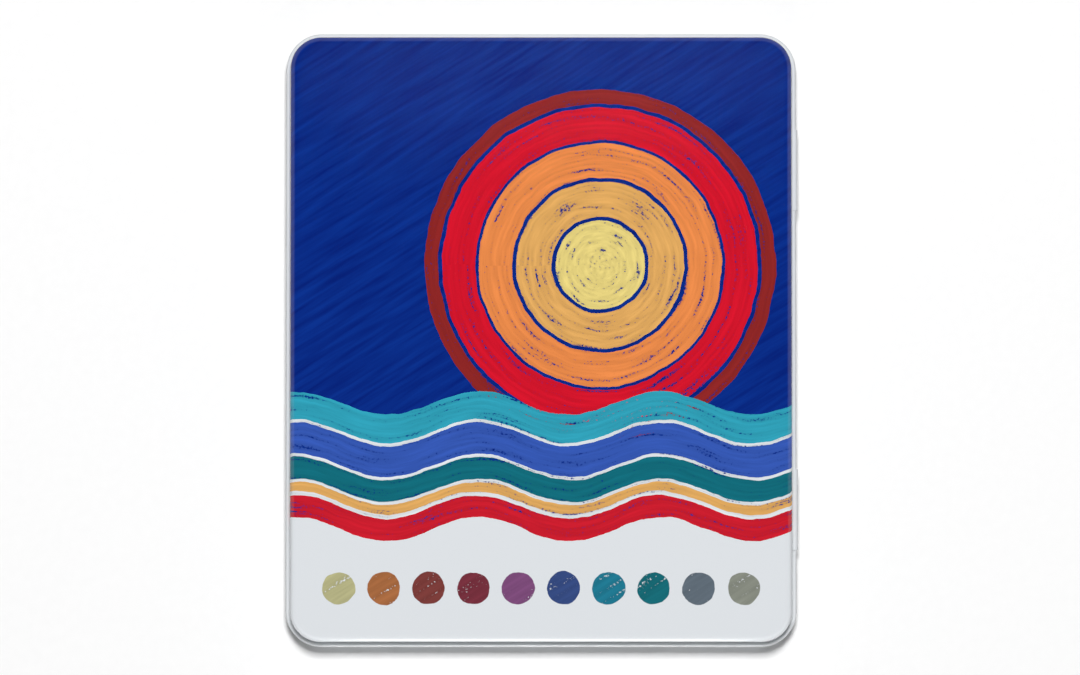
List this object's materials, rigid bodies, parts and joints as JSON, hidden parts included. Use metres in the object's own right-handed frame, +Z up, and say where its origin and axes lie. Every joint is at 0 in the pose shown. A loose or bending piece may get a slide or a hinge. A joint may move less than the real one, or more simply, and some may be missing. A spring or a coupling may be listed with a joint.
{
  "type": "flat tin of wax crayons",
  "caption": "Flat hinged tinplate box with a printed lid, curled edges and lanced hinge knuckles, holding a row of wax crayons in a grooved tray.",
  "frame": {"origin": "middle of the underside of the closed box, on the plane it lies on", "axes": "+Z up out of the lid, +Y along the crayons towards their tips, +X towards the hinge side"},
  "size_m": [0.1043, 0.125, 0.0124],
  "materials": {
    "white_enamel": "glossy white enamel on tinplate",
    "printed_tinplate": "printed and varnished tinplate, mostly blue, white inside",
    "tray_plastic": "thermoformed white polystyrene",
    "gold_wax": "waxy, slightly pearly",
    "gold_paper": "coated metallic paper",
    "copper_wax": "waxy, slightly pearly",
    "copper_paper": "coated metallic paper",
    "russet_wax": "waxy, slightly pearly",
    "russet_paper": "coated metallic paper",
    "crimson_wax": "waxy, slightly pearly",
    "crimson_paper": "coated metallic paper",
    "purple_wax": "waxy, slightly pearly",
    "purple_paper": "coated metallic paper",
    "indigo_wax": "waxy, slightly pearly",
    "indigo_paper": "coated metallic paper",
    "turquoise_wax": "waxy, slightly pearly",
    "turquoise_paper": "coated metallic paper",
    "teal_wax": "waxy, slightly pearly",
    "teal_paper": "coated metallic paper",
    "slate_wax": "waxy, slightly pearly",
    "slate_paper": "coated metallic paper",
    "silver_wax": "waxy, slightly pearly",
    "silver_paper": "coated metallic paper"
  },
  "bodies": {
    "base": {"tin_base": "white_enamel", "crayon_tray": "tray_plastic"},
    "lid": {"tin_lid": "printed_tinplate"},
    "crayon_gold": {"crayon_gold_core": "gold_wax", "crayon_gold_wrapper": "gold_paper"},
    "crayon_copper": {"crayon_copper_core": "copper_wax", "crayon_copper_wrapper": "copper_paper"},
    "crayon_russet": {"crayon_russet_core": "russet_wax", "crayon_russet_wrapper": "russet_paper"},
    "crayon_crimson": {"crayon_crimson_core": "crimson_wax", "crayon_crimson_wrapper": "crimson_paper"},
    "crayon_purple": {"crayon_purple_core": "purple_wax", "crayon_purple_wrapper": "purple_paper"},
    "crayon_indigo": {"crayon_indigo_core": "indigo_wax", "crayon_indigo_wrapper": "indigo_paper"},
    "crayon_turquoise": {"crayon_turquoise_core": "turquoise_wax", "crayon_turquoise_wrapper": "turquoise_paper"},
    "crayon_teal": {"crayon_teal_core": "teal_wax", "crayon_teal_wrapper": "teal_paper"},
    "crayon_slate": {"crayon_slate_core": "slate_wax", "crayon_slate_wrapper": "slate_paper"},
    "crayon_silver": {"crayon_silver_core": "silver_wax", "crayon_silver_wrapper": "silver_paper"}
  },
  "joints": [
    {"name": "lid_hinge", "type": "hinge", "parent": "base", "child": "lid", "pos_m": [0.05135, 0, 0.0064], "axis": [0, 1, 0], "range_deg": [0, 180]},
    {"name": "crayon_gold_slide", "type": "slide", "parent": "base", "child": "crayon_gold", "axis": [0, 1, 0], "range_m": [0, 0.0059]},
    {"name": "crayon_copper_slide", "type": "slide", "parent": "base", "child": "crayon_copper", "axis": [0, 1, 0], "range_m": [0, 0.0059]},
    {"name": "crayon_russet_slide", "type": "slide", "parent": "base", "child": "crayon_russet", "axis": [0, 1, 0], "range_m": [0, 0.0059]},
    {"name": "crayon_crimson_slide", "type": "slide", "parent": "base", "child": "crayon_crimson", "axis": [0, 1, 0], "range_m": [0, 0.0059]},
    {"name": "crayon_purple_slide", "type": "slide", "parent": "base", "child": "crayon_purple", "axis": [0, 1, 0], "range_m": [0, 0.0059]},
    {"name": "crayon_indigo_slide", "type": "slide", "parent": "base", "child": "crayon_indigo", "axis": [0, 1, 0], "range_m": [0, 0.0059]},
    {"name": "crayon_turquoise_slide", "type": "slide", "parent": "base", "child": "crayon_turquoise", "axis": [0, 1, 0], "range_m": [0, 0.0059]},
    {"name": "crayon_teal_slide", "type": "slide", "parent": "base", "child": "crayon_teal", "axis": [0, 1, 0], "range_m": [0, 0.0059]},
    {"name": "crayon_slate_slide", "type": "slide", "parent": "base", "child": "crayon_slate", "axis": [0, 1, 0], "range_m": [0, 0.0059]},
    {"name": "crayon_silver_slide", "type": "slide", "parent": "base", "child": "crayon_silver", "axis": [0, 1, 0], "range_m": [0, 0.0059]}
  ]
}
